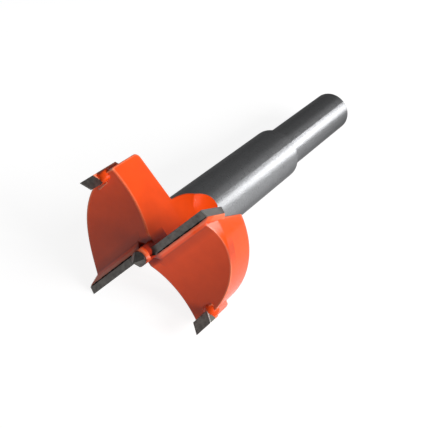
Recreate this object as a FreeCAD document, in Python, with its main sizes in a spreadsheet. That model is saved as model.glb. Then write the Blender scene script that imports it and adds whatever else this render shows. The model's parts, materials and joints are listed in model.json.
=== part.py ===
import FreeCAD, Part
import math
import os
import Sketcher

# Hinge-boring bit of the forstner kind, 35 mm, with brazed hard-metal edges.
#
# The bit is modelled about its own axis: z = 0 is the level of the two cutting
# edges and +z runs up the shank. Edge 1 lies along +x and spur 2 stands on +y;
# a half turn about z carries each wing of the head onto the other. At the end
# the whole bit is laid down on the three points it rests on.

doc = FreeCAD.newDocument("hinge_boring_bit")
sheet = doc.addObject("Spreadsheet::Sheet", "sizes")

# Driving dimensions, millimetres and degrees
SIZES = [
    ("shank_diameter", "9.525", "3/8 inch shank for the chuck"),
    ("shank_end", "86.6", "level of the end of the shank"),
    ("shank_chamfer", "0.5", "bevel on the rim of the shank"),
    ("neck_diameter", "11.84", "turned neck between head and shank"),
    ("neck_end", "54.0", "level of the shoulder where the neck ends"),
    ("neck_taper", "1.0", "length of the bevelled shoulder down to the shank"),
    ("lobe_radius", "16.33", "radius of the round outside of a wing"),
    ("lobe_shift_x", "0.78", "off-centre of that round, away from the edge"),
    ("lobe_shift_y", "0.28", "off-centre of that round, towards the spur"),
    ("nose_length", "4.2", "level where the tapered nose reaches full radius"),
    ("nose_angle", "16.0", "taper of the nose of a wing"),
    ("back_level", "13.3", "level of the back of the head, on the axis"),
    ("back_angle", "4.0", "fall of the back of the head to its rim"),
    ("back_round", "1.3", "rounding of the back rim"),
    ("hollow_radius", "19.4", "radius of the hollow across a wing's front"),
    ("hollow_centre", "11.9", "distance of the hollow's lowest line"),
    ("hollow_level", "4.08", "level of the hollow's lowest line"),
    ("land_angle", "46.0", "slope of the land between plate and hollow"),
    ("floor_level", "1.8", "level of the flat floor round the hub"),
    ("floor_reach", "3.4", "reach of that floor towards the spur"),
    ("floor_side", "0.9", "reach of that floor towards the cutting edge"),
    ("wall_offset", "1.985", "distance of a gullet's side wall from the axis"),
    ("wall_angle", "4.74", "swing of that wall away from the axis"),
    ("runout_radius", "8.0", "ball cut where a gullet runs out into the neck"),
    ("runout_x", "10.72", "centre of the ball cut, from the axis"),
    ("runout_level", "12.5", "centre of the ball cut, level"),
    ("ramp_radius", "5.8", "round rise at the back end of a gullet's side wall"),
    ("ramp_start", "11.8", "level where that rise starts"),
    ("seat_offset", "1.15", "distance of the cutter seat at level 0"),
    ("rake_angle", "17.2", "lean of the cutter seat"),
    ("plate_thickness", "1.35", "cutter plate, across its faces"),
    ("plate_length", "5.65", "cutter plate, up its seat"),
    ("plate_radius", "17.2", "outer corner of a cutting edge"),
    ("plate_relief", "14.3", "relief behind the cutting edge"),
    ("plate_side_relief", "3.0", "relief of the plate's outer end"),
    ("plate_end_angle", "45.0", "slant of the plate's inner end"),
    ("braze_gap", "0.05", "gap between the plate's inner end and the pin"),
    ("flank_radius", "16.9", "outside of the steel that backs the plate"),
    ("flank_crest", "0.15", "width of that steel along its outside"),
    ("flank_width", "0.55", "width of that steel at its foot"),
    ("flank_foot", "15.05", "radius where that steel meets the wing"),
    ("flank_inside", "13.2", "radius down to which it is set into the wing"),
    ("flank_length", "4.95", "level of the back end of that steel"),
    ("flank_fall", "1.2", "length of the slope at that end"),
    ("spur_radius", "17.5", "radius at the tips of the spurs"),
    ("spur_reach", "1.94", "how far a spur tip stands ahead of the edges"),
    ("spur_depth", "2.15", "spur tip, from its outside to its inside"),
    ("spur_slant", "31.0", "slant of a spur tip's front and seat"),
    ("spur_length", "3.8", "spur tip, along the axis"),
    ("spur_edge", "0.25", "thickness of a spur at its front edge"),
    ("spur_grind", "13.0", "angle by which a spur thickens from that edge"),
    ("spur_blank", "1.6", "thickness of the steel from which a spur is ground"),
    ("rib_length", "9.14", "level where the rib behind a spur ends"),
    ("rib_fall", "0.9", "run of the slope at the back of the rib"),
    ("rib_front", "4.3", "level where the rib's ramp starts, at its crest"),
    ("rib_front_fall", "0.7", "fall of that start towards the wing's front"),
    ("rib_crest", "0.25", "width of the rib along its crest"),
    ("rib_width", "2.6", "width of the rib at its foot"),
    ("rib_skew", "1.6", "how much sooner the rib ends at its foot"),
    ("rib_foot", "16.3", "radius of the rib's foot"),
    ("rib_inside", "14.8", "radius down to which the rib is set into the wing"),
    ("hub_diameter", "4.3", "hub round the centre point"),
    ("hub_flat", "3.0", "width of the hub across its flats"),
    ("hub_front", "-1.1", "level where the hub starts to narrow"),
    ("hub_nose", "-1.75", "level of the hub's front"),
    ("hub_rim", "0.08", "width of the hub's front rim"),
    ("pin_diameter", "3.0", "centre point"),
    ("pin_tip", "-3.8", "level of the centre point's tip"),
    ("pin_point_angle", "35.3", "lean of each facet of the point from the axis"),
    ("pin_turn", "25.0", "turn of the point's corners from the cutting edge"),
    ("pin_bottom", "7.0", "level of the bottom of the pin's hole"),
    ("edge_round", "0.25", "rounding of the wings' flat sides"),
    ("corner_round", "0.8", "rounding inside a gullet's corner"),
    ("crease_round", "2.0", "rounding between land and hollow"),
    ("reach", "40.0", "length of every cutting tool past the bit's outside"),
]
for row, (alias, value, meaning) in enumerate(SIZES, start=1):
    sheet.set(f"A{row}", alias)
    sheet.set(f"B{row}", value)
    sheet.set(f"C{row}", meaning)
    sheet.setAlias(f"B{row}", alias)
doc.recompute()

XY = FreeCAD.Rotation()
YZ = FreeCAD.Rotation(FreeCAD.Vector(1, 1, 1), 120)
XZ = FreeCAD.Rotation(FreeCAD.Vector(1, 0, 0), 90)
NORMAL = {"XY": (0, 0, 1), "YZ": (1, 0, 0), "XZ": (0, -1, 0)}
TURN = {"XY": XY, "YZ": YZ, "XZ": XZ}


def draw(sketch, corners):
    """Closes straight edges round the corners, each held by two formulas of the sheet."""
    count = len(corners)
    for number in range(count):
        angles = [2 * math.pi * (number + step) / count for step in (0, 1)]
        ends = [FreeCAD.Vector(math.cos(angle), math.sin(angle), 0) for angle in angles]
        sketch.addGeometry(Part.LineSegment(*ends))
    for number in range(count):
        following = (number + 1) % count
        sketch.addConstraint(Sketcher.Constraint("Coincident", number, 2, following, 1))
    for number, formulas in enumerate(corners):
        for direction, formula in zip(("DistanceX", "DistanceY"), formulas):
            held = sketch.addConstraint(Sketcher.Constraint(direction, number, 1, 1.0))
            sketch.setExpression(f"Constraints[{held}]", formula)
    return sketch


def prism(name, plane, corners, forward="sizes.reach", backward="sizes.reach"):
    """A straight prism on an outline in the plane XY, YZ or XZ through the axis."""
    sketch = draw(doc.addObject("Sketcher::SketchObject", name + "_outline"), corners)
    sketch.Placement = FreeCAD.Placement(FreeCAD.Vector(), TURN[plane])
    solid = doc.addObject("Part::Extrusion", name)
    solid.Base = sketch
    solid.DirMode = "Custom"
    solid.Dir = FreeCAD.Vector(*NORMAL[plane])
    solid.Solid = True
    solid.setExpression("LengthFwd", forward)
    solid.setExpression("LengthRev", backward)
    return solid


def turned(name, corners):
    """A full turn about the axis of an outline given as radius and level."""
    sketch = draw(doc.addObject("Sketcher::SketchObject", name + "_outline"), corners)
    sketch.Placement = FreeCAD.Placement(FreeCAD.Vector(), XZ)
    solid = doc.addObject("Part::Revolution", name)
    solid.Source = sketch
    solid.Axis = FreeCAD.Vector(0, 0, 1)
    solid.Angle = 360
    solid.Solid = True
    return solid


def sized(kind, name, sizes, at, turn=XY):
    """A box, ball or cylinder with its sizes and its place held by formulas."""
    solid = doc.addObject(kind, name)
    solid.Placement = FreeCAD.Placement(FreeCAD.Vector(), turn)
    for prop, formula in sizes.items():
        solid.setExpression(prop, formula)
    for letter, formula in zip("xyz", at):
        solid.setExpression(f"Placement.Base.{letter}", formula)
    return solid


def joined(name, *solids):
    fused = doc.addObject("Part::MultiFuse", name)
    fused.Shapes = list(solids)
    return fused


def shared(name, *solids):
    common = doc.addObject("Part::MultiCommon", name)
    common.Shapes = list(solids)
    return common


def cut(name, base, tool):
    rest = doc.addObject("Part::Cut", name)
    rest.Base = base
    rest.Tool = tool
    return rest


TOUCH = 0.001
SHORTEST = 0.05
STEPS = 8


def points_along(edge):
    first, last = edge.FirstParameter, edge.LastParameter
    return [edge.valueAt(first + (last - first) * step / STEPS) for step in range(STEPS + 1)]


def rounded_off(name, base, radius, picked):
    """Rounds the edges of a solid whose points pass the test."""
    doc.recompute()
    numbered = enumerate(base.Shape.Edges, start=1)
    longer = [(number, edge) for number, edge in numbered if edge.Length > SHORTEST]
    numbers = [number for number, edge in longer if picked(points_along(edge))]
    rounded = doc.addObject("Part::Fillet", name)
    rounded.Base = base
    rounded.Edges = [(number, radius, radius) for number in numbers]
    return rounded


def half_turn(side):
    """Nothing for side 2, whose wing lies between +x and +y, and a half turn for side 1."""
    return FreeCAD.Rotation(FreeCAD.Vector(0, 0, 1), 180 * (2 - side))


# Lines that several pieces share, as formulas
RAKE = "tan(sizes.rake_angle)"
SEAT_STEP = "sizes.plate_thickness / cos(sizes.rake_angle)"
FACE_Y = f"(sizes.seat_offset - {SEAT_STEP})"
TRAIL_Z = (
    f"({SEAT_STEP} * tan(sizes.plate_relief) / (1 - {RAKE} * tan(sizes.plate_relief)))"
)
TRAIL_Y = f"(sizes.seat_offset + {TRAIL_Z} * {RAKE})"
BACK_Y = f"({FACE_Y} + sizes.plate_length * sin(sizes.rake_angle))"
BACK_Z = "(sizes.plate_length * cos(sizes.rake_angle))"
SPUR_INSIDE = "(sizes.spur_radius - sizes.spur_depth)"
SPUR_RISE = "(sizes.spur_depth * tan(sizes.spur_slant))"
SPUR_SEAT = "(sizes.spur_length - sizes.spur_reach)"
PLATE_SECTION = [
    (FACE_Y, "0"),
    (TRAIL_Y, TRAIL_Z),
    (
        f"{BACK_Y} + sizes.plate_thickness * cos(sizes.rake_angle)",
        f"{BACK_Z} - sizes.plate_thickness * sin(sizes.rake_angle)",
    ),
    (BACK_Y, BACK_Z),
]
PLATE_END = "((sizes.pin_diameter / 2 + sizes.braze_gap) / cos(sizes.plate_end_angle))"
TAN_END = "tan(sizes.plate_end_angle)"
PLATE_INSIDE = [
    (f"{PLATE_END} - sizes.reach * {TAN_END}", "sizes.reach"),
    (f"{PLATE_END} - sizes.reach * {TAN_END}", "-sizes.reach"),
    (f"{PLATE_END} + sizes.reach * {TAN_END}", "-sizes.reach"),
]


def is_land_crease(points):
    """The straight line, above the cutting edges, where the land meets the hollow."""
    return min(point.z for point in points) > 0


def hollow(side):
    """The round hollow across a wing's front, down to the land behind the plate."""
    round_cut = sized(
        "Part::Cylinder",
        f"hollow_round_{side}",
        {"Radius": "sizes.hollow_radius", "Height": "2 * sizes.reach"},
        ("-sizes.reach", "sizes.hollow_centre", "sizes.hollow_level - sizes.hollow_radius"),
        FreeCAD.Rotation(FreeCAD.Vector(0, 1, 0), 90),
    )
    run = "sizes.reach * cos(sizes.land_angle)"
    fall = "sizes.reach * sin(sizes.land_angle)"
    land = prism(
        f"hollow_land_{side}",
        "YZ",
        [
            (f"{TRAIL_Y} - {run}", f"{TRAIL_Z} - {fall}"),
            (f"{TRAIL_Y} + {run}", f"{TRAIL_Z} - {fall}"),
            (f"{TRAIL_Y} + {run}", f"{TRAIL_Z} + {fall}"),
        ],
    )
    crossing = shared(f"hollow_sharp_{side}", round_cut, land)
    return rounded_off(f"hollow_{side}", crossing, sheet.crease_round, is_land_crease)


def floor(side):
    """The flat floor beside the hub."""
    return sized(
        "Part::Box",
        f"floor_{side}",
        {
            "Length": "sizes.reach + sizes.floor_side",
            "Width": "sizes.floor_reach",
            "Height": "sizes.reach + sizes.floor_level",
        },
        ("-sizes.reach", "0", "-sizes.reach"),
    )


def flank(side):
    """The steel that backs a cutter plate outside the round of the wing."""
    seat = "sizes.seat_offset * cos(sizes.rake_angle)"
    plan = prism(
        f"flank_plan_{side}",
        "XY",
        [
            ("sizes.flank_inside", seat),
            ("sizes.flank_radius", seat),
            ("sizes.flank_radius", f"{seat} + sizes.flank_crest"),
            ("sizes.flank_foot", f"{seat} + sizes.flank_width"),
            ("sizes.flank_inside", f"{seat} + sizes.flank_width"),
        ],
    )
    plan.Placement = FreeCAD.Placement(
        FreeCAD.Vector(), FreeCAD.Rotation(FreeCAD.Vector(1, 0, 0), -sheet.rake_angle)
    )
    height = prism(
        f"flank_height_{side}",
        "XZ",
        [
            ("sizes.flank_inside", "0"),
            ("sizes.flank_radius", "0"),
            ("sizes.flank_radius", "sizes.flank_length"),
            ("sizes.flank_foot", "sizes.flank_length + sizes.flank_fall"),
            ("sizes.flank_inside", "sizes.flank_length + sizes.flank_fall"),
        ],
    )
    return shared(f"flank_{side}", plan, height)


def spur_grinding(side, name):
    """The stone's path down a spur's leading side, from its front edge back."""
    run = "sizes.reach * tan(sizes.spur_grind)"
    stone = prism(
        f"{name}_{side}",
        "XZ",
        [
            (f"sizes.spur_edge - {run}", "-sizes.reach"),
            (f"sizes.spur_edge + {run}", "-sizes.reach"),
            (f"sizes.spur_edge + {run}", "sizes.reach"),
        ],
    )
    stone.Placement = FreeCAD.Placement(
        FreeCAD.Vector(), FreeCAD.Rotation(FreeCAD.Vector(1, 0, 0), -sheet.spur_slant)
    )
    stone.setExpression("Placement.Base.y", "sizes.spur_radius")
    stone.setExpression("Placement.Base.z", "-sizes.spur_reach")
    return stone


def blade(side, name, outline):
    """A thin plate on an outline of distance and level, ground to a spur's thickness."""
    blank = prism(f"{name}_blank_{side}", "YZ", outline, "sizes.spur_blank", "0")
    return cut(f"{name}_{side}", blank, spur_grinding(side, name + "_stone"))


def rib(side):
    """The thin steel under a spur tip and the ramped rib behind it."""
    under_tip = blade(
        side,
        "rib_blade",
        [
            (SPUR_INSIDE, f"{SPUR_SEAT} + {SPUR_RISE}"),
            ("sizes.spur_radius", SPUR_SEAT),
            ("sizes.spur_radius", "sizes.rib_front"),
            (SPUR_INSIDE, "sizes.rib_front"),
        ],
    )
    plan = prism(
        f"rib_plan_{side}",
        "XY",
        [
            ("0", "sizes.rib_inside"),
            ("sizes.rib_width", "sizes.rib_inside"),
            ("sizes.rib_width", "sizes.rib_foot"),
            ("sizes.rib_crest", "sizes.spur_radius"),
            ("0", "sizes.spur_radius"),
        ],
    )
    height = prism(
        f"rib_height_{side}",
        "YZ",
        [
            ("sizes.rib_inside", "sizes.rib_front - sizes.rib_front_fall"),
            ("sizes.spur_radius", "sizes.rib_front"),
            ("sizes.spur_radius", "sizes.rib_length"),
            ("sizes.rib_foot", "sizes.rib_length + sizes.rib_fall"),
            ("sizes.rib_inside", "sizes.rib_length + sizes.rib_fall"),
        ],
    )
    length = prism(
        f"rib_length_{side}",
        "XZ",
        [
            ("0", "0"),
            ("sizes.rib_width", "0"),
            ("sizes.rib_width", "sizes.rib_length - sizes.rib_skew"),
            ("0", "sizes.rib_length + sizes.rib_fall"),
        ],
    )
    return joined(f"rib_{side}", under_tip, shared(f"rib_ramp_{side}", plan, height, length))


def wing(side):
    """One wing of the head, with its nose, hollow front, plate backing and rib."""
    rim = "sizes.lobe_radius * tan(sizes.back_angle)"
    disc = turned(
        f"disc_{side}",
        [
            ("0", "0"),
            ("sizes.lobe_radius - sizes.nose_length * tan(sizes.nose_angle)", "0"),
            ("sizes.lobe_radius", "sizes.nose_length"),
            ("sizes.lobe_radius", f"sizes.back_level - {rim}"),
            ("0", "sizes.back_level"),
        ],
    )
    disc.setExpression("Placement.Base.x", "-sizes.lobe_shift_x")
    disc.setExpression("Placement.Base.y", "sizes.lobe_shift_y")
    back_rim = sheet.back_level - sheet.lobe_radius * math.tan(math.radians(sheet.back_angle))
    rounded = rounded_off(
        f"disc_rounded_{side}",
        disc,
        sheet.back_round,
        lambda points: all(abs(point.z - back_rim) < TOUCH for point in points),
    )
    half = sized(
        "Part::Box",
        f"half_{side}",
        {"Length": "2 * sizes.reach", "Width": "sizes.reach", "Height": "2 * sizes.reach"},
        ("-sizes.reach", "0", "-sizes.reach"),
    )
    blank = joined(f"blank_{side}", shared(f"half_disc_{side}", rounded, half), flank(side))
    milled = cut(f"milled_{side}", blank, joined(f"front_{side}", hollow(side), floor(side)))
    whole = joined(f"wing_{side}", milled, rib(side))
    whole.Placement = FreeCAD.Placement(FreeCAD.Vector(), half_turn(side))
    return whole


def gullet_faces(side, name, end):
    """The two flat walls of a gullet: its side wall, and the seat of the cutter plate."""
    swing = "sizes.reach * tan(sizes.wall_angle)"
    plan = prism(
        f"{name}_plan_{side}",
        "XY",
        [
            (f"sizes.wall_offset - {swing}", "sizes.reach"),
            (f"sizes.wall_offset + {swing}", "-sizes.reach"),
            ("2 * sizes.reach", "-sizes.reach"),
            ("2 * sizes.reach", "sizes.reach"),
        ],
        end,
    )
    lean = f"sizes.reach * {RAKE}"
    seat = prism(
        f"{name}_seat_{side}",
        "YZ",
        [
            (f"sizes.seat_offset - {lean}", "-sizes.reach"),
            (f"sizes.seat_offset + {lean}", "sizes.reach"),
            ("-sizes.reach", "sizes.reach"),
            ("-sizes.reach", "-sizes.reach"),
        ],
        backward="0",
    )
    return plan, seat


def gullet(side):
    """The gullet ahead of a cutting edge, right through the head."""
    tool = shared(f"gullet_{side}", *gullet_faces(side, "gullet", "sizes.reach"))
    tool.Placement = FreeCAD.Placement(FreeCAD.Vector(), half_turn(side))
    return tool


def runout(side):
    """The round rise of a gullet out of the neck."""
    plan, seat = gullet_faces(side, "runout", "sizes.ramp_start")
    swing = FreeCAD.Rotation(FreeCAD.Vector(0, 0, 1), sheet.wall_angle)
    off = "(sizes.wall_offset * cos(sizes.wall_angle) + sizes.ramp_radius)"
    ramp = sized(
        "Part::Cylinder",
        f"ramp_{side}",
        {"Radius": "sizes.ramp_radius", "Height": "2 * sizes.reach"},
        (
            f"{off} * cos(sizes.wall_angle) - sizes.reach * sin(sizes.wall_angle)",
            f"{off} * sin(sizes.wall_angle) + sizes.reach * cos(sizes.wall_angle)",
            "sizes.ramp_start",
        ),
        swing.multiply(FreeCAD.Rotation(FreeCAD.Vector(1, 0, 0), 90)),
    )
    ball = sized(
        "Part::Sphere",
        f"ball_{side}",
        {"Radius": "sizes.runout_radius"},
        ("sizes.runout_x", "0", "sizes.runout_level"),
    )
    tool = shared(f"runout_{side}", joined(f"runout_round_{side}", plan, ramp, ball), seat)
    tool.Placement = FreeCAD.Placement(FreeCAD.Vector(), half_turn(side))
    return tool


def plate_room(side, name, section):
    """A straight room on a plate's section, from its slanted inner end outwards."""
    room = cut(
        f"{name}_{side}",
        prism(f"{name}_length_{side}", "YZ", section, backward="0"),
        prism(f"{name}_end_{side}", "XY", PLATE_INSIDE),
    )
    room.Placement = FreeCAD.Placement(FreeCAD.Vector(), half_turn(side))
    return room


def slot(side):
    """The slot in the web for a plate's inner end, open to the front."""
    lean = f"sizes.reach * {RAKE}"
    section = [
        (f"{FACE_Y} - {lean}", "-sizes.reach"),
        (f"sizes.seat_offset - {lean}", "-sizes.reach"),
        PLATE_SECTION[2],
        PLATE_SECTION[3],
    ]
    return plate_room(side, "slot", section)


def hub():
    """The hub with two flats round the point, cut away behind its cone where a plate ends."""
    root = "sizes.floor_level + sizes.hub_diameter / 2"
    post = turned(
        "hub_post",
        [
            ("0", "sizes.hub_nose"),
            ("sizes.pin_diameter / 2 + sizes.hub_rim", "sizes.hub_nose"),
            ("sizes.hub_diameter / 2", "sizes.hub_front"),
            ("sizes.hub_diameter / 2", root),
            ("0", root),
        ],
    )
    flats = sized(
        "Part::Box",
        "hub_flats",
        {"Length": "2 * sizes.reach", "Width": "sizes.hub_flat", "Height": "2 * sizes.reach"},
        ("-sizes.reach", "-sizes.hub_flat / 2", "-sizes.reach"),
    )
    section = [
        (f"{FACE_Y} + sizes.hub_front * {RAKE}", "sizes.hub_front"),
        (f"sizes.seat_offset + sizes.hub_front * {RAKE}", "sizes.hub_front"),
        PLATE_SECTION[2],
        PLATE_SECTION[3],
    ]
    rooms = joined("hub_rooms", *[plate_room(side, "hub_room", section) for side in (1, 2)])
    return cut("hub", shared("hub_flatted", post, flats), rooms)


def spine():
    """Neck, cone and shank, turned in one with the core of the head."""
    blank = turned(
        "spine_turned",
        [
            ("0", "sizes.hollow_level"),
            ("sizes.neck_diameter / 2", "sizes.hollow_level"),
            ("sizes.neck_diameter / 2", "sizes.neck_end"),
            ("sizes.shank_diameter / 2", "sizes.neck_end + sizes.neck_taper"),
            ("sizes.shank_diameter / 2", "sizes.shank_end - sizes.shank_chamfer"),
            ("sizes.shank_diameter / 2 - sizes.shank_chamfer", "sizes.shank_end"),
            ("0", "sizes.shank_end"),
        ],
    )
    rooms = [plate_room(side, "core_room", PLATE_SECTION) for side in (1, 2)]
    return cut("spine", blank, joined("runouts", runout(1), runout(2), *rooms))


def steel_body():
    wings = joined("wings", wing(1), wing(2))
    head = cut("head", wings, joined("gullets", gullet(1), gullet(2), slot(1), slot(2)))
    bore = sized(
        "Part::Cylinder",
        "pin_hole",
        {"Radius": "sizes.pin_diameter / 2", "Height": "sizes.reach + sizes.pin_bottom"},
        ("0", "0", "-sizes.reach"),
    )
    return cut("body_sharp", joined("body_solid", head, spine(), hub()), bore)


def on_side_wall(points):
    """Whether an edge lies in the flat side wall of either gullet."""
    swing = math.radians(sheet.wall_angle)
    off = sheet.wall_offset * math.cos(swing)
    across = [abs(point.x * math.cos(swing) + point.y * math.sin(swing)) for point in points]
    return all(abs(distance - off) < TOUCH for distance in across)


def on_seat(points):
    """Whether an edge lies in the flat seat of either cutter plate."""
    rake = math.tan(math.radians(sheet.rake_angle))
    return all(
        abs(abs(point.y) - sheet.seat_offset - point.z * rake) < TOUCH for point in points
    )


def outside_neck(points):
    return max(math.hypot(point.x, point.y) for point in points) > sheet.neck_diameter / 2 + TOUCH


def is_wing_outline(points):
    """The outline of a wing's two flat sides, clear of the cutter plate and of the neck."""
    beside_wall = on_side_wall(points)
    behind_plate = on_seat(points) and min(point.z for point in points) > sheet.plate_length
    return beside_wall != behind_plate and outside_neck(points)


def is_gullet_corner(points):
    return on_side_wall(points) and on_seat(points) and not outside_neck(points)


def painted_body():
    """The steel body with its edges rounded as they are under the paint."""
    outlined = rounded_off("outline_rounded", steel_body(), sheet.edge_round, is_wing_outline)
    return rounded_off("body", outlined, sheet.corner_round, is_gullet_corner)


def piece(label):
    made = doc.addObject("PartDesign::Body", label)
    made.Label = label
    return made


def origin_part(made, role):
    return next(part for part in made.Origin.OriginFeatures if part.Role == role)


def flat_sketch(made, name, plane, corners, swing=0.0):
    """A sketch on one of the piece's own planes, swung about the plane's upright."""
    sketch = made.newObject("Sketcher::SketchObject", name)
    sketch.AttachmentSupport = [(origin_part(made, plane + "_Plane"), "")]
    sketch.MapMode = "FlatFace"
    turn = FreeCAD.Rotation(FreeCAD.Vector(0, 1, 0), swing)
    sketch.AttachmentOffset = FreeCAD.Placement(FreeCAD.Vector(), turn)
    return draw(sketch, corners)


def pad(made, name, sketch, length):
    block = made.newObject("PartDesign::Pad", name)
    block.Profile = sketch
    block.setExpression("Length", length)
    return block


def pocket(made, name, sketch):
    """Cuts an outline away through the whole piece, both ways from its plane."""
    opening = made.newObject("PartDesign::Pocket", name)
    opening.Profile = sketch
    opening.Type = "ThroughAll"
    opening.Midplane = True
    return opening


def cutter_plate(side):
    """A hard-metal plate, brazed on its seat, whose front edge cuts the hole's floor."""
    plate = piece(f"cutter_plate_{side}")
    section = flat_sketch(plate, f"plate_section_{side}", "YZ", PLATE_SECTION)
    pad(plate, f"plate_blank_{side}", section, "sizes.plate_radius")
    inside = flat_sketch(plate, f"plate_inside_{side}", "XY", PLATE_INSIDE)
    pocket(plate, f"plate_inner_end_{side}", inside)
    slant = "sizes.reach * tan(sizes.plate_side_relief)"
    outside = flat_sketch(
        plate,
        f"plate_outside_{side}",
        "XZ",
        [
            (f"sizes.plate_radius + {slant}", "-sizes.reach"),
            (f"sizes.plate_radius + {slant}", "sizes.reach"),
            (f"sizes.plate_radius - {slant}", "sizes.reach"),
        ],
    )
    pocket(plate, f"plate_outer_end_{side}", outside)
    return plate


def spur_tip(side):
    """A hard-metal spur, brazed on its rib, that scores the hole's rim."""
    tip = blade(
        side,
        "spur_tip",
        [
            ("sizes.spur_radius", "-sizes.spur_reach"),
            ("sizes.spur_radius", SPUR_SEAT),
            (SPUR_INSIDE, f"{SPUR_SEAT} + {SPUR_RISE}"),
            (SPUR_INSIDE, f"{SPUR_RISE} - sizes.spur_reach"),
        ],
    )
    tip.Label = f"spur_tip_{side}"
    return tip


POINT_FACETS = 4


def centre_point():
    """A hard-metal pin with a four-sided point, brazed in the hub."""
    point = piece("centre_point")
    outline = flat_sketch(
        point,
        "pin_outline",
        "XZ",
        [
            ("0", "sizes.pin_tip"),
            ("sizes.pin_diameter / 2", "sizes.pin_tip"),
            ("sizes.pin_diameter / 2", "sizes.pin_bottom"),
            ("0", "sizes.pin_bottom"),
        ],
    )
    pin = point.newObject("PartDesign::Revolution", "pin")
    pin.Profile = outline
    pin.ReferenceAxis = (outline, ["V_Axis"])
    pin.Angle = 360
    doc.recompute()
    beyond = "sizes.reach * tan(sizes.pin_point_angle)"
    facet_outline = flat_sketch(
        point,
        "facet_outline",
        "XZ",
        [
            ("0", "sizes.pin_tip"),
            (beyond, "sizes.pin_tip"),
            (beyond, "sizes.pin_tip + sizes.reach"),
        ],
        sheet.pin_turn + 180 / POINT_FACETS,
    )
    facet = pocket(point, "facet", facet_outline)
    facets = point.newObject("PartDesign::PolarPattern", "facets")
    facets.Originals = [facet]
    facets.Axis = (origin_part(point, "Z_Axis"), [""])
    facets.Angle = 360
    facets.Occurrences = POINT_FACETS
    point.Tip = facets
    return point


MOST_TILT = 45
HALVINGS = 60


def resting_turn():
    """The turn that lays the bit down, its axis along x and the shank to +x.

    It rests on the outer corner of one cutting edge, on the rim of the gullet
    wall a quarter turn away, and on the rim of the shank.
    """
    doc.recompute()
    lean = math.radians(sheet.rake_angle)
    swing = math.tan(math.radians(sheet.wall_angle))
    fall = sheet.lobe_radius * math.tan(math.radians(sheet.back_angle))
    corner = FreeCAD.Vector(
        -sheet.plate_radius, sheet.plate_thickness / math.cos(lean) - sheet.seat_offset, 0
    )
    # The wall x = -(offset + swing y) meets the round of the wing at height y
    near = sheet.lobe_shift_x - sheet.wall_offset - swing * sheet.lobe_shift_y
    along = swing * near
    square = 1 + swing**2
    rise = (along + math.sqrt(along**2 - square * (near**2 - sheet.lobe_radius**2))) / square
    height = rise + sheet.lobe_shift_y
    rim = FreeCAD.Vector(
        -sheet.wall_offset - swing * height, height, sheet.back_level - fall - sheet.back_round
    )
    span = (rim - corner).normalize()
    across = FreeCAD.Vector(0, 0, 1).cross(span).normalize()
    upright = across.cross(span)
    low, high = math.radians(-MOST_TILT), math.radians(MOST_TILT)

    def clearance(angle):
        down = across * math.cos(angle) + upright * math.sin(angle)
        shank = math.hypot(down.x, down.y) * sheet.shank_diameter / 2
        shank += down.z * (sheet.shank_end - sheet.shank_chamfer)
        return down.dot(corner) - shank, down

    if clearance(0)[1].dot(corner) < 0:
        across = -across
    for _ in range(HALVINGS):
        middle = (low + high) / 2
        same = (clearance(middle)[0] > 0) == (clearance(low)[0] > 0)
        low, high = (middle, high) if same else (low, middle)
    up = -clearance(low)[1]
    axis = FreeCAD.Vector(0, 0, 1)
    along = (axis - up * axis.dot(up)).normalize()
    side = up.cross(along)
    return FreeCAD.Rotation(along, side, up, "XYZ").inverted()


# The brazed bit, laid down: each piece with the side whose half turn places it
pieces = [(painted_body(), 2), (centre_point(), 2)]
for side in (1, 2):
    pieces.append((cutter_plate(side), side))
    pieces.append((spur_tip(side), side))
turn = resting_turn()
for thing, side in pieces:
    thing.Placement = FreeCAD.Placement(FreeCAD.Vector(), turn.multiply(half_turn(side)))
doc.recompute()
box = Part.makeCompound([thing.Shape for thing, side in pieces]).optimalBoundingBox()
shift = FreeCAD.Vector(-box.Center.x, -box.Center.y, -box.ZMin)
for thing, side in pieces:
    thing.Placement = FreeCAD.Placement(shift, turn.multiply(half_turn(side)))
doc.recompute()

failed = [thing.Name for thing in doc.Objects if {"Invalid", "Error"} & set(thing.State)]
if failed:
    raise RuntimeError(f"these did not build: {failed}")
for thing, side in pieces:
    if thing.Shape.isNull() or not thing.Shape.isValid() or len(thing.Shape.Solids) != 1:
        raise RuntimeError(f"{thing.Label} is not one sound solid")
os.makedirs("parts", exist_ok=True)
for thing, side in pieces:
    thing.Shape.exportStep(f"parts/{thing.Label}.step")
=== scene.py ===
"""Looks for the hinge-boring forstner bit: an orange painted steel body with a bare turned shank,
two brazed cutting plates, two brazed spurs and a brazed centre point, lying as it comes to rest.
Everything is in metres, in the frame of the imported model, unless a comment says mm."""

import json

import bpy
import numpy as np
from mathutils import Matrix, Vector


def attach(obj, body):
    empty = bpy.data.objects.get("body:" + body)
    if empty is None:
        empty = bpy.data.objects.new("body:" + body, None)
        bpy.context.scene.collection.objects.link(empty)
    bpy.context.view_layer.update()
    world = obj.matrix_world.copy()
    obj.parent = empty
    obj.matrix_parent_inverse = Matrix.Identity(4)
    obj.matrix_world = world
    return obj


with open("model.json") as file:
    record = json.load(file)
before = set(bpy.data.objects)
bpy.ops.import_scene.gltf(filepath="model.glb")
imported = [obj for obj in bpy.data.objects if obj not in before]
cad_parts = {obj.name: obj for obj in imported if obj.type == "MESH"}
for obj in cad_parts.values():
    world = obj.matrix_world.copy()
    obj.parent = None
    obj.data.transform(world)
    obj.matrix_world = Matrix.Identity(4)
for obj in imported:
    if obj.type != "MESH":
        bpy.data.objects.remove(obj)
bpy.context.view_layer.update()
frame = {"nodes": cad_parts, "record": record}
scene = bpy.context.scene


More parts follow.
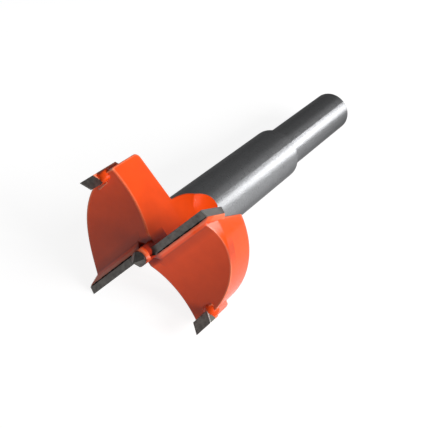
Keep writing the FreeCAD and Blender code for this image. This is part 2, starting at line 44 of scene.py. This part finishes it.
# The camera looks down on the bit from the head's side, a little from the left of the cutting edges.
# The view was fitted to the photograph, which leans a few degrees, and whose lens axis lies half a
# pixel off the picture's middle.
PICTURE = 428
FOCAL_PIXELS = 968.0
OFF_MIDDLE = 0.5
SENSOR = 36.0
EYE = Vector((-0.16032, -0.07415, 0.12488))
LOOKS_AT = Vector((-0.020675, -0.003087, 0.012))
LEAN_DEGREES = 5.447

camera_data = bpy.data.cameras.new("view")
camera_data.sensor_width = SENSOR
camera_data.lens = SENSOR * FOCAL_PIXELS / PICTURE
camera_data.shift_x = -OFF_MIDDLE / PICTURE
camera_data.shift_y = OFF_MIDDLE / PICTURE
camera_data.clip_start = 0.01
camera_data.clip_end = 20.0
camera = bpy.data.objects.new("view", camera_data)
level_view = (LOOKS_AT - EYE).to_track_quat("-Z", "Y").to_matrix()
view_turn = level_view @ Matrix.Rotation(np.radians(LEAN_DEGREES), 3, "Z")
camera.matrix_world = Matrix.Translation(EYE) @ view_turn.to_4x4()
scene.collection.objects.link(camera)
scene.camera = camera
scene.view_settings.view_transform = "Standard"


# The bit lies on a plain pale table top that reaches past the picture on every side, and its shadow
# stays on it. Camera and gloss see the table near white; gloss sees it fade to painted shade at the back
# left.
TABLE_REACH = 3.0
TABLE_GREY = 0.28
TABLE_GLOW = 0.86
FADE_TOWARDS = (0.7, 0.7, 0.0)
FADE_RUN = (0.0, 0.04)
FADE_TO = 0.3


def put(tree, kind, inputs=None, **settings):
    """One shader node: settings by name, and inputs by name or number, each a socket or a value."""
    made = tree.nodes.new(kind)
    for name, value in settings.items():
        setattr(made, name, value)
    for name, value in (inputs or {}).items():
        if isinstance(value, bpy.types.NodeSocket):
            tree.links.new(value, made.inputs[name])
        else:
            made.inputs[name].default_value = value
    return made


def reckon(tree, operation, *values):
    """The output of one Math node on sockets or numbers."""
    return put(tree, "ShaderNodeMath", dict(enumerate(values)), operation=operation).outputs[0]


def reckon_vector(tree, operation, *values):
    """The output of one Vector Math node on sockets or vectors: a number for a dot product, or a vector."""
    outputs = put(tree, "ShaderNodeVectorMath", dict(enumerate(values)), operation=operation).outputs
    return outputs["Value" if operation == "DOT_PRODUCT" else "Vector"]


def ramp(tree, value, low, high, to_low=0.0, to_high=1.0):
    """The value's run from low to high, laid on the run from to_low to to_high and held at its ends."""
    return put(tree, "ShaderNodeMapRange", {
        "Value": value, "From Min": low, "From Max": high, "To Min": to_low, "To Max": to_high,
    }).outputs[0]


def blank_material(name):
    """A material with only its output to come, its node tree, and its piece's Object coordinates."""
    material = bpy.data.materials.new(name)
    material.use_nodes = True
    tree = material.node_tree
    tree.nodes.clear()
    return material, tree, put(tree, "ShaderNodeTexCoord").outputs["Object"]


table_mesh = bpy.data.meshes.new("table_top")
corners = TABLE_REACH * np.array([(-1, -1, 0), (1, -1, 0), (1, 1, 0), (-1, 1, 0)], float)
table_mesh.from_pydata(corners.tolist(), [], [(0, 1, 2, 3)])
table = bpy.data.objects.new("table_top", table_mesh)
scene.collection.objects.link(table)

pale, tree, own = blank_material("pale_table")
rays = put(tree, "ShaderNodeLightPath").outputs
fade = ramp(tree, reckon_vector(tree, "DOT_PRODUCT", own, FADE_TOWARDS), *FADE_RUN, 1.0, FADE_TO)
mirrored = reckon(tree, "MAXIMUM", rays["Is Glossy Ray"], rays["Is Transmission Ray"])
seen = reckon(tree, "MAXIMUM", rays["Is Camera Ray"], reckon(tree, "MULTIPLY", mirrored, fade))
lit = put(tree, "ShaderNodeBsdfDiffuse", {"Color": (TABLE_GREY, TABLE_GREY, TABLE_GREY, 1)})
glow = put(tree, "ShaderNodeEmission", {
    "Color": (1, 1, 1, 1), "Strength": reckon(tree, "MULTIPLY", seen, TABLE_GLOW),
})
both = put(tree, "ShaderNodeAddShader", {0: lit.outputs[0], 1: glow.outputs[0]})
put(tree, "ShaderNodeOutputMaterial", {"Surface": both.outputs[0]})
table_mesh.materials.append(pale)


# Plain studio light: a dim room, a wide key lamp low on the right of the cutting edges with a tall narrow
# one beside it for the front corner of the head, a wide low fill in front, and a small panel near the
# shank with a dim one above it, which the bare steel mirrors as a bright band and a grey one.
ROOM_LIGHT = 0.17
AIM = Vector((0.0, 0.0, 0.012))

room = bpy.data.worlds.new("dim_room")
room.use_nodes = True
room.node_tree.nodes["Background"].inputs["Color"].default_value = (1, 1, 1, 1)
room.node_tree.nodes["Background"].inputs["Strength"].default_value = ROOM_LIGHT
scene.world = room


def softbox(name, bearing, height, distance, size, watts):
    """A square-cornered lamp of size (width, height) that faces the bit. Its bearing and height are
    angles in degrees, seen from the bit, the bearing from the shank's direction towards the left."""
    bearing, height = np.radians((bearing, height))
    level_part = np.cos(height)
    direction = Vector((level_part * np.cos(bearing), level_part * np.sin(bearing), np.sin(height)))
    data = bpy.data.lights.new(name, "AREA")
    data.shape = "RECTANGLE"
    data.size, data.size_y = size
    data.energy = watts
    lamp = bpy.data.objects.new(name, data)
    lamp.location = AIM + distance * direction
    lamp.rotation_euler = (-direction).to_track_quat("-Z", "Y").to_euler()
    lamp.visible_camera = False
    scene.collection.objects.link(lamp)


softbox("key_lamp", bearing=-94, height=27, distance=0.7, size=(0.36, 0.24), watts=3.4)
softbox("nose_lamp", bearing=-65, height=25, distance=0.7, size=(0.08, 0.22), watts=1.0)
softbox("low_fill", bearing=-112, height=11, distance=0.8, size=(0.56, 0.28), watts=2.65)
softbox("low_panel", bearing=-29.7, height=6.2, distance=0.217, size=(0.092, 0.070), watts=0.093)
softbox("dim_panel", bearing=-16, height=25, distance=0.8, size=(0.34, 0.26), watts=0.07)


# Body: one steel turning. The head is milled to two wings and painted orange all over, and the neck
# and the shank behind it are left bare, as turned and ground.
# The bit's own axes run along the cutting edges, across them, and from their level towards the shank.
# The shank's mount gives the third of them and a point on it, whose level is in mm, and the edges are
# rolled about it from level.
MM = 1000
MOUNT_LEVEL = 70.55
EDGE_ROLL_DEGREES = 127.5667

shank = next(mount for mount in frame["record"]["mounts"] if mount["name"] == "shank")
shank_way = Vector(shank["axis"]).normalized()
level_way = Vector((0, 0, 1)).cross(shank_way).normalized()
edge_way = Matrix.Rotation(np.radians(EDGE_ROLL_DEGREES), 3, shank_way) @ level_way
AXIS_TURN = Matrix((edge_way, shank_way.cross(edge_way), shank_way))
AXIS_SHIFT = Vector((0, 0, MOUNT_LEVEL)) - AXIS_TURN @ (MM * Vector(shank["pos_m"]))
TO_BIT = AXIS_TURN.to_euler("XYZ")

# Where paint and bare steel meet, in mm on these axes
PAINT_END = (12.83, 12.93)
RAMP_END = 19.2
NECK_RADIUS = 5.84
NECK_FACING = (0.88, 0.92)
GROUND_FACING = (0.95, 0.96)
GROUND_OUT = (15.0, 15.1)
SEAT_LEVEL_AT_AXIS = 12.37
SEAT_SLOPE = -0.6
SEAT_LINE_WIDTH = 0.22
GROUND_WIDTH = (15.6, 17.2, 0.1, 1.5)

# Paint, its wear, and the painted shade and highlight that darken and lighten it
ORANGE = (0.94, 0.080, 0.005, 1)
DEEP_ORANGE = (0.86, 0.068, 0.004, 1)
PALE_EDGE_WEAR_AND_HIGHLIGHT = (1.0, 0.36, 0.20, 1)
DARK_EDGE_BEHIND_HEAD = (0.10, 0.025, 0.015, 1)
CREASE_SHADE_RED = (0.42, 0.035, 0.006, 1)
CORNER_SHADE_RED = (0.20, 0.012, 0.004, 1)
LEDGE_SHADE_RED = (0.42, 0.08, 0.02, 1)
HUB_SHADE_RED = (0.28, 0.012, 0.005, 1)
CLOUDS = {"scale": 0.35, "detail": 3.0}
CLOUD_RUN = (0.3, 0.8)
PEEL = {"scale": 1.6, "detail": 1.0}
PAINT_ROUGH = (0.3, 0.7, 0.42, 0.50)
PAINT_SHINE = 0.12
PAINT_TINT = (0.30, 0.30, 0.30, 1)
PEEL_RELIEF = 0.12
RELIEF_DEPTH = 0.0001
HEAD_END = 6.0
DARK_EDGE_FROM = (12.0, 13.5)
EDGE_DEPTH = 0.00055
EDGE_RUN = (0.9, 0.6)
SEAT_BACK = (3.2, 2.4)
SEAT_LEVELS = (2.4, 1.8)
SEAT_WEAR_AND_HIGHLIGHT = (1.0, 0.4)
WING_WEAR_AND_HIGHLIGHT = (0.95, 0.55)
CREASE_RISE = (0.38, 0.48)
CREASE_FALL = (0.66, 0.56)
CREASE_SHARE = 0.6
CORNER_DEPTH = 0.0025
CORNER_RUN = (0.70, 0.25)
LEDGE_RADII = (16.2, 16.8)
SPUR_OUT = (14.6, 15.2)
SPUR_LEVELS = (5.6, 4.6)
CORNER_SHARES = (0.85, 0.3)
HUB_RADII = (3.2, 2.3)
HUB_LEVELS = (-1.2, -0.9)
HUB_SHADE_SHARE = 0.85
COAT_FADE = (12.0, 14.0, 0.5, 0.05)
COAT_IN_CORNERS = (0.25, 0.70, 0.2, 1.0)
COAT_ROUGH = 0.12
EDGE_ROUNDING = (0.00018, 0.0006)

# Steel, and the marks of the lathe and the grinding wheel
STEEL = (0.405, 0.41, 0.42, 1)
STEEL_SHADE = (0.37, 0.375, 0.385, 1)
SPECK_GREY = (0.25, 0.25, 0.255, 1)
GROUND_GREY = (0.20, 0.215, 0.19, 1)
SEAT_LINE_GREY = (0.62, 0.62, 0.60, 1)
RING_STRETCH = (0.7, 0.7, 6.0)
RINGS = {"scale": 1.0, "detail": 2.0}
GRAIN = {"scale": 0.5, "detail": 4.0, "roughness": 0.6}
SPECKS = {"scale": 3.0, "detail": 3.0, "roughness": 0.7}
SPECK_RUN = (0.45, 0.75, 0.0, 0.65)
STEEL_ROUGH = (0.3, 0.7, 0.27, 0.31)
GROUND_ROUGHER = 0.25
PEEL_HEIGHT = 0.6
RING_HEIGHT = 0.08
SPECK_HEIGHT = 2.5
MIDDLE_RUN = (0.3, 0.7)


def bit_axes():
    """Group: Object coordinates in metres become the bit's own, in mm: along the edges, across them
    and along the axis, with the distance from the axis as the root of the sum of two squares."""
    group = bpy.data.node_groups.new("bit_axes", "ShaderNodeTree")
    group.interface.new_socket("Object", in_out="INPUT", socket_type="NodeSocketVector")
    group.interface.new_socket("Place", in_out="OUTPUT", socket_type="NodeSocketVector")
    group.interface.new_socket("Level", in_out="OUTPUT", socket_type="NodeSocketFloat")
    group.interface.new_socket("Radius", in_out="OUTPUT", socket_type="NodeSocketFloat")
    given = put(group, "NodeGroupInput").outputs["Object"]
    turned = put(group, "ShaderNodeMapping", {
        "Vector": given, "Location": AXIS_SHIFT, "Rotation": TO_BIT, "Scale": (MM, MM, MM),
    }, vector_type="POINT").outputs[0]
    x, y, z = put(group, "ShaderNodeSeparateXYZ", {0: turned}).outputs
    squares = reckon(group, "ADD", reckon(group, "MULTIPLY", x, x), reckon(group, "MULTIPLY", y, y))
    put(group, "NodeGroupOutput", {"Place": turned, "Level": z, "Radius": reckon(group, "SQRT", squares)})
    return group


def blend_colour(tree, share, first, second):
    """The first colour where the share is 0, and the second where it is 1."""
    return put(tree, "ShaderNodeMix", {0: share, 6: first, 7: second}, data_type="RGBA").outputs[2]


def blend_value(tree, share, first, second):
    """The first value where the share is 0, and the second where it is 1."""
    return put(tree, "ShaderNodeMix", {0: share, 2: first, 3: second}).outputs[0]


def noise(tree, place, scale, detail, roughness=0.5):
    """Soft noise between 0 and 1 at a place, with so many lumps to the mm."""
    return put(tree, "ShaderNodeTexNoise", {
        "Vector": place, "Scale": scale, "Detail": detail, "Roughness": roughness,
    }).outputs["Fac"]


def orange_coat():
    """Group: a slightly uneven coat of paint. Wide soft noise blends its two shades of orange, and finer
    noise is the height of its orange peel."""
    group = bpy.data.node_groups.new("orange_coat", "ShaderNodeTree")
    group.interface.new_socket("Place", in_out="INPUT", socket_type="NodeSocketVector")
    group.interface.new_socket("Colour", in_out="OUTPUT", socket_type="NodeSocketColor")
    group.interface.new_socket("Peel", in_out="OUTPUT", socket_type="NodeSocketFloat")
    place = put(group, "NodeGroupInput").outputs["Place"]
    cloud = ramp(group, noise(group, place, **CLOUDS), *CLOUD_RUN)
    put(group, "NodeGroupOutput", {
        "Colour": blend_colour(group, cloud, ORANGE, DEEP_ORANGE), "Peel": noise(group, place, **PEEL),
    })
    return group


def product(tree, first, *others):
    """Several shares multiplied."""
    for other in others:
        first = reckon(tree, "MULTIPLY", first, other)
    return first


def along(tree, vector, axis):
    """One of a vector's three parts: 0 for along the edges, 1 for across them, 2 for the level."""
    return put(tree, "ShaderNodeSeparateXYZ", {0: vector}).outputs[axis]


def occlusion(tree, distance, **settings):
    """How open the surface lies to what is within a distance: 1 in the open, less in a corner. With
    inside=True it looks into the piece, and is less along an edge."""
    look = put(tree, "ShaderNodeAmbientOcclusion", {"Distance": distance}, samples=12, **settings)
    return look.outputs["AO"]


BIT_AXES = bit_axes()
ORANGE_COAT = orange_coat()
body_finish, tree, own = blank_material("painted_head_bare_shank")
on_bit = put(tree, "ShaderNodeGroup", {"Object": own}, node_tree=BIT_AXES).outputs
place, level, radius = on_bit["Place"], on_bit["Level"], on_bit["Radius"]
facing = put(tree, "ShaderNodeMapping", {
    "Vector": put(tree, "ShaderNodeTexCoord").outputs["Normal"], "Rotation": TO_BIT,
}, vector_type="VECTOR").outputs[0]

# The steel is bare on the round of the neck, which faces away from the axis, and behind the ramps
from_axis = reckon_vector(tree, "NORMALIZE", reckon_vector(tree, "MULTIPLY", place, (1, 1, 0)))
outwards = reckon_vector(tree, "DOT_PRODUCT", facing, from_axis)
on_neck = reckon(tree, "GREATER_THAN", radius, NECK_RADIUS)
behind_head = product(tree, ramp(tree, level, *PAINT_END), on_neck, ramp(tree, outwards, *NECK_FACING))
bare = reckon(tree, "MAXIMUM", reckon(tree, "GREATER_THAN", level, RAMP_END), behind_head)

# and on the side of each spur that was ground after painting, up to a slanting line behind its tip's
# seat, with a pale line along the seat
wing = reckon(tree, "SIGN", along(tree, place, 1))
out_across = reckon(tree, "ABSOLUTE", along(tree, place, 1))
facing_on = product(tree, wing, along(tree, facing, 0))
seat_level = reckon(tree, "MULTIPLY_ADD", out_across, SEAT_SLOPE, SEAT_LEVEL_AT_AXIS)
past_seat = reckon(tree, "SUBTRACT", level, seat_level)
ground_side = product(
    tree, ramp(tree, facing_on, *GROUND_FACING), ramp(tree, out_across, *GROUND_OUT),
    reckon(tree, "LESS_THAN", past_seat, ramp(tree, out_across, *GROUND_WIDTH)))
seat_line = product(tree, ground_side, reckon(tree, "LESS_THAN", past_seat, SEAT_LINE_WIDTH))
bare = reckon(tree, "MAXIMUM", bare, ground_side)

# Paint: its pale edges, faintest at the plates' seats, are partly wear and partly painted highlight, and
# dark behind the head
coat = put(tree, "ShaderNodeGroup", {"Place": place}, node_tree=ORANGE_COAT).outputs
peel = coat["Peel"]
half = reckon(tree, "SIGN", along(tree, place, 0))
from_seat = product(tree, half, along(tree, place, 1))
at_seat = product(tree, ramp(tree, from_seat, *SEAT_BACK), ramp(tree, level, *SEAT_LEVELS))
rim = ramp(tree, occlusion(tree, EDGE_DEPTH, inside=True, only_local=True), *EDGE_RUN)
edge_wear_and_highlight = product(tree, rim, ramp(tree, at_seat, 0.0, 1.0, *SEAT_WEAR_AND_HIGHLIGHT), ramp(tree, wing, -1.0, 1.0, *WING_WEAR_AND_HIGHLIGHT))
edge_colour = blend_colour(tree, ramp(tree, level, *DARK_EDGE_FROM), PALE_EDGE_WEAR_AND_HIGHLIGHT, DARK_EDGE_BEHIND_HEAD)
paint = blend_colour(tree, edge_wear_and_highlight, coat["Colour"], edge_colour)

# Painted shade: darker in the rounded crease behind the seat of each plate, in deep corners, on the
# ledge by each spur and on the side of the hub
ahead = reckon(tree, "LESS_THAN", level, HEAD_END)
facing_back = product(tree, half, along(tree, facing, 1))
crease = product(tree, ramp(tree, facing_back, *CREASE_RISE), ramp(tree, facing_back, *CREASE_FALL), ahead)
paint = blend_colour(tree, product(tree, crease, CREASE_SHARE), paint, CREASE_SHADE_RED)
corner = occlusion(tree, CORNER_DEPTH)
by_spur = product(tree, ramp(tree, out_across, *SPUR_OUT), ramp(tree, level, *SPUR_LEVELS))
corner_shade = product(tree, ramp(tree, corner, *CORNER_RUN), ramp(tree, by_spur, 0.0, 1.0, *CORNER_SHARES))
shade = blend_colour(tree, ramp(tree, radius, *LEDGE_RADII), CORNER_SHADE_RED, LEDGE_SHADE_RED)
paint = blend_colour(tree, corner_shade, paint, shade)
# Painted shade on the side of the hub
hub_shade = product(tree, ramp(tree, radius, *HUB_RADII), ramp(tree, level, *HUB_LEVELS), ahead, HUB_SHADE_SHARE)
paint = blend_colour(tree, hub_shade, paint, HUB_SHADE_RED)

# Steel: rings left by turning, a fine grain with darker specks, and the duller ground sides
rings = noise(tree, reckon_vector(tree, "MULTIPLY", place, RING_STRETCH), **RINGS)
specks = noise(tree, place, **SPECKS)
steel = blend_colour(tree, ramp(tree, noise(tree, place, **GRAIN), *MIDDLE_RUN), STEEL, STEEL_SHADE)
steel = blend_colour(tree, ramp(tree, specks, *SPECK_RUN), steel, SPECK_GREY)
steel = blend_colour(tree, ground_side, steel, GROUND_GREY)
steel = blend_colour(tree, seat_line, steel, SEAT_LINE_GREY)
rough_steel = reckon(tree, "MULTIPLY_ADD", ground_side, GROUND_ROUGHER, ramp(tree, rings, *STEEL_ROUGH))
steel_height = reckon(tree, "ADD", product(tree, rings, RING_HEIGHT), product(tree, specks, SPECK_HEIGHT))

# Both together: a thin clear gloss lies on the paint alone, less in corners, and edges look rounded
gloss = product(
    tree, ramp(tree, level, *COAT_FADE), reckon(tree, "SUBTRACT", 1.0, bare),
    ramp(tree, corner, *COAT_IN_CORNERS))
edge_size = ramp(tree, at_seat, 0.0, 1.0, *EDGE_ROUNDING)
relief = put(tree, "ShaderNodeBump", {
    "Height": blend_value(tree, bare, product(tree, peel, PEEL_HEIGHT), steel_height),
    "Strength": PEEL_RELIEF, "Distance": RELIEF_DEPTH,
    "Normal": put(tree, "ShaderNodeBevel", {"Radius": edge_size}, samples=8).outputs[0],
})
skin = put(tree, "ShaderNodeBsdfPrincipled", {
    "Base Color": blend_colour(tree, bare, paint, steel), "Metallic": bare,
    "Roughness": blend_value(tree, bare, ramp(tree, peel, *PAINT_ROUGH), rough_steel),
    "Normal": relief.outputs[0], "Coat Weight": gloss, "Coat Roughness": COAT_ROUGH,
    "Specular IOR Level": PAINT_SHINE, "Specular Tint": PAINT_TINT,
})
put(tree, "ShaderNodeOutputMaterial", {"Surface": skin.outputs[0]})


def dress(name, material):
    """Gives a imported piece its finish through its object's own material slot."""
    piece = frame["nodes"][name]
    piece.material_slots[0].link = "OBJECT"
    piece.material_slots[0].material = material


dress("body", body_finish)


# Cutting plates, spurs and centre point: hard-metal blanks brazed into their seats and then ground
# sharp, so that they show dull grey faces with the fine lines of the wheel. The outer end of each
# plate is painted paler, a painted sheen.
HARD_GREY = (0.115, 0.108, 0.10, 1)
DARK_GREY = (0.065, 0.06, 0.056, 1)
END_SHEEN_GREY = (0.20, 0.19, 0.18, 1)
END_REACH = (16.9, 17.0)
WHEEL_STRETCH = (1.2, 8.0, 14.0)
WHEEL_LINES = {"scale": 1.0, "detail": 2.0}
BLOTCHES = {"scale": 1.2, "detail": 3.0}
BLOTCH_RUN = (0.35, 0.7)
WHEEL_RELIEF = 0.2
HARD_EDGE = 0.00006
HARD_METALLIC = 0.75
HARD_ROUGH = (0.3, 0.7, 0.32, 0.45)

hard_metal, tree, own = blank_material("ground_hard_metal")
place = put(tree, "ShaderNodeGroup", {"Object": own}, node_tree=BIT_AXES).outputs["Place"]
wheel = noise(tree, reckon_vector(tree, "MULTIPLY", place, WHEEL_STRETCH), **WHEEL_LINES)
grey = blend_colour(tree, ramp(tree, noise(tree, place, **BLOTCHES), *BLOTCH_RUN), HARD_GREY, DARK_GREY)
out_along = reckon(tree, "ABSOLUTE", along(tree, place, 0))
relief = put(tree, "ShaderNodeBump", {
    "Height": wheel, "Strength": WHEEL_RELIEF, "Distance": RELIEF_DEPTH,
    "Normal": put(tree, "ShaderNodeBevel", {"Radius": HARD_EDGE}, samples=6).outputs[0],
})
skin = put(tree, "ShaderNodeBsdfPrincipled", {
    "Base Color": blend_colour(tree, ramp(tree, out_along, *END_REACH), grey, END_SHEEN_GREY),
    "Metallic": HARD_METALLIC, "Roughness": ramp(tree, wheel, *HARD_ROUGH), "Normal": relief.outputs[0],
})
put(tree, "ShaderNodeOutputMaterial", {"Surface": skin.outputs[0]})
for name in ("cutter_plate_1", "cutter_plate_2", "spur_tip_1", "spur_tip_2", "centre_point"):
    dress(name, hard_metal)


# Braze: silver solder that ran out of the seat along the trailing edge of each cutting plate. It is a
# thin uneven bead in the corner between plate and body, black with burnt flux. Sizes are in mm.
BEAD_RADIUS = 0.13
BEAD_ENDS = (2.3, 16.85)
BEAD_BACK = 1.27
BEAD_LEVEL = 0.39
BEAD_STEPS = 120
BEAD_ROUND = 10
BEAD_WAVES = ((0.18, 31, 1), (0.12, 83, 2))
SOOT = (0.004, 0.003, 0.003, 1)
BROWN_CRUST = (0.025, 0.010, 0.006, 1)
CRUST = {"scale": 3.0, "detail": 2.0}
CRUST_ROUGH = (0.3, 0.7, 0.7, 0.9)
CRUST_SHINE = 0.1


def closed_skin(name, rings, start, end):
    """A mesh of four-sided faces between rings of points (ring, point, axis) in mm on the bit's own
    axes, closed by a fan of triangles at each end point. Undoing the shift and then the turn of these
    axes gives the places in the frame."""
    count, around = rings.shape[:2]
    points = np.vstack([[start], rings.reshape(-1, 3), [end]])
    points = (points - np.array(AXIS_SHIFT)) @ np.array(AXIS_TURN) / MM
    here = 1 + np.arange(count * around).reshape(count, around)
    after = np.roll(here, -1, axis=1)
    sides = np.stack([here[:-1], after[:-1], after[1:], here[1:]], axis=-1).reshape(-1, 4)
    pole = np.zeros(around, int)
    head = np.stack([pole, after[0], here[0]], axis=-1)
    tail = np.stack([pole + len(points) - 1, here[-1], after[-1]], axis=-1)
    faces = sides.tolist() + head.tolist() + tail.tolist()
    mesh = bpy.data.meshes.new(name)
    mesh.from_pydata(points.tolist(), [], faces)
    mesh.polygons.foreach_set("use_smooth", np.ones(len(faces), bool))
    return mesh


def bead_mesh(name, side):
    """A round bead along x: at share u of its length its radius is the full one times the root of
    1 - (2u - 1)^8, which closes both ends, times one plus two waves, each with its height, its
    radians to the length and its lag; share v turns once round the line."""
    shares = np.linspace(0, 1, BEAD_STEPS)[1:-1]
    u, v = np.meshgrid(shares, np.arange(BEAD_ROUND) / BEAD_ROUND, indexing="ij")
    wave = 1 + sum(height * np.sin(pace * u + lag * side) for height, pace, lag in BEAD_WAVES)
    radius = BEAD_RADIUS * np.sqrt(1 - (2 * u - 1) ** 8) * wave
    x = BEAD_ENDS[0] + u * (BEAD_ENDS[1] - BEAD_ENDS[0])
    y = BEAD_BACK + radius * np.cos(2 * np.pi * v)
    z = BEAD_LEVEL + radius * np.sin(2 * np.pi * v)
    half_turn = np.array([side, side, 1])
    start, end = (np.array([x_end, BEAD_BACK, BEAD_LEVEL]) * half_turn for x_end in BEAD_ENDS)
    return closed_skin(name, np.stack([x, y, z], axis=-1) * half_turn, start, end)


burnt_flux, tree, own = blank_material("braze_and_burnt_flux")
place = put(tree, "ShaderNodeGroup", {"Object": own}, node_tree=BIT_AXES).outputs["Place"]
crust = noise(tree, place, **CRUST)
skin = put(tree, "ShaderNodeBsdfPrincipled", {
    "Base Color": blend_colour(tree, ramp(tree, crust, *MIDDLE_RUN), SOOT, BROWN_CRUST),
    "Roughness": ramp(tree, crust, *CRUST_ROUGH), "Specular IOR Level": CRUST_SHINE,
})
put(tree, "ShaderNodeOutputMaterial", {"Surface": skin.outputs[0]})

for number, side in ((1, -1), (2, 1)):
    bead = bpy.data.objects.new(f"braze_bead_{number}", bead_mesh(f"braze_bead_{number}", side))
    bead.data.materials.append(burnt_flux)
    scene.collection.objects.link(bead)
    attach(bead, "root")


# Painted mounds: braze that welled up behind the root of each spur and was painted with the head. Each
# is a low swelling that lies on the steel of the wing and leaves the ground faces of the spur free.
# Middle and radii are in mm on the bit's own axes; a fullness under 1 fills the form out to a rod.
MOUNDS = {
    1: {"middle": (0.25, -16.2, 4.16), "radii": (1.48, 1.05, 1.48), "fullness": 0.5},
    2: {"middle": (0.9, 15.8, 4.55), "radii": (1.7, 1.5, 1.45), "fullness": 1.0},
}
MOUND_STEPS = 24
MOUND_ROUND = 36
MOUND_SWELL = 0.03
HOLLOW_SHADE_RED = (0.35, 0.03, 0.006, 1)
HOLLOW_DEPTH = 0.0012
HOLLOW_RUN = (0.6, 0.2, 0.0, 0.6)
MOUND_COAT = 0.5
MOUND_COAT_ROUGH = 0.3


def mound_mesh(name, middle, radii, fullness):
    """An ellipsoid, or with a fullness under 1 a rod with round ends, along y. Share u goes from end to
    end: y is the cosine of pi u to the power of the fullness, and its sine to that power scales the
    ellipse of x and z, which share v goes round once. A small sine of both shares swells it."""
    u, v = np.meshgrid(
        np.arange(1, MOUND_STEPS) / MOUND_STEPS, np.arange(MOUND_ROUND) / MOUND_ROUND, indexing="ij")
    cosine = np.cos(np.pi * u)
    swell = 1 + MOUND_SWELL * np.sin(3 * np.pi * u) * np.sin(4 * np.pi * v + 1)
    wide = np.sin(np.pi * u) ** fullness * swell
    x = radii[0] * wide * np.cos(2 * np.pi * v)
    y = radii[1] * np.sign(cosine) * np.abs(cosine) ** fullness
    z = radii[2] * wide * np.sin(2 * np.pi * v)
    start, end = (np.array([0, y_end, 0]) + np.array(middle) for y_end in (radii[1], -radii[1]))
    return closed_skin(name, np.stack([x, y, z], axis=-1) + np.array(middle), start, end)


painted_braze, tree, own = blank_material("painted_braze")
place = put(tree, "ShaderNodeGroup", {"Object": own}, node_tree=BIT_AXES).outputs["Place"]
coat = put(tree, "ShaderNodeGroup", {"Place": place}, node_tree=ORANGE_COAT).outputs
# Painted shade: darker where the mound lies close to the steel around it
hollow_shade = ramp(tree, occlusion(tree, HOLLOW_DEPTH), *HOLLOW_RUN)
relief = put(tree, "ShaderNodeBump", {
    "Height": coat["Peel"], "Strength": PEEL_RELIEF, "Distance": RELIEF_DEPTH,
})
skin = put(tree, "ShaderNodeBsdfPrincipled", {
    "Base Color": blend_colour(tree, hollow_shade, coat["Colour"], HOLLOW_SHADE_RED),
    "Roughness": ramp(tree, coat["Peel"], *PAINT_ROUGH), "Normal": relief.outputs[0],
    "Coat Weight": MOUND_COAT, "Coat Roughness": MOUND_COAT_ROUGH,
    "Specular IOR Level": PAINT_SHINE, "Specular Tint": PAINT_TINT,
})
put(tree, "ShaderNodeOutputMaterial", {"Surface": skin.outputs[0]})

for number, form in MOUNDS.items():
    mound = bpy.data.objects.new(f"spur_mound_{number}", mound_mesh(f"spur_mound_{number}", **form))
    mound.data.materials.append(painted_braze)
    scene.collection.objects.link(mound)
    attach(mound, "root")
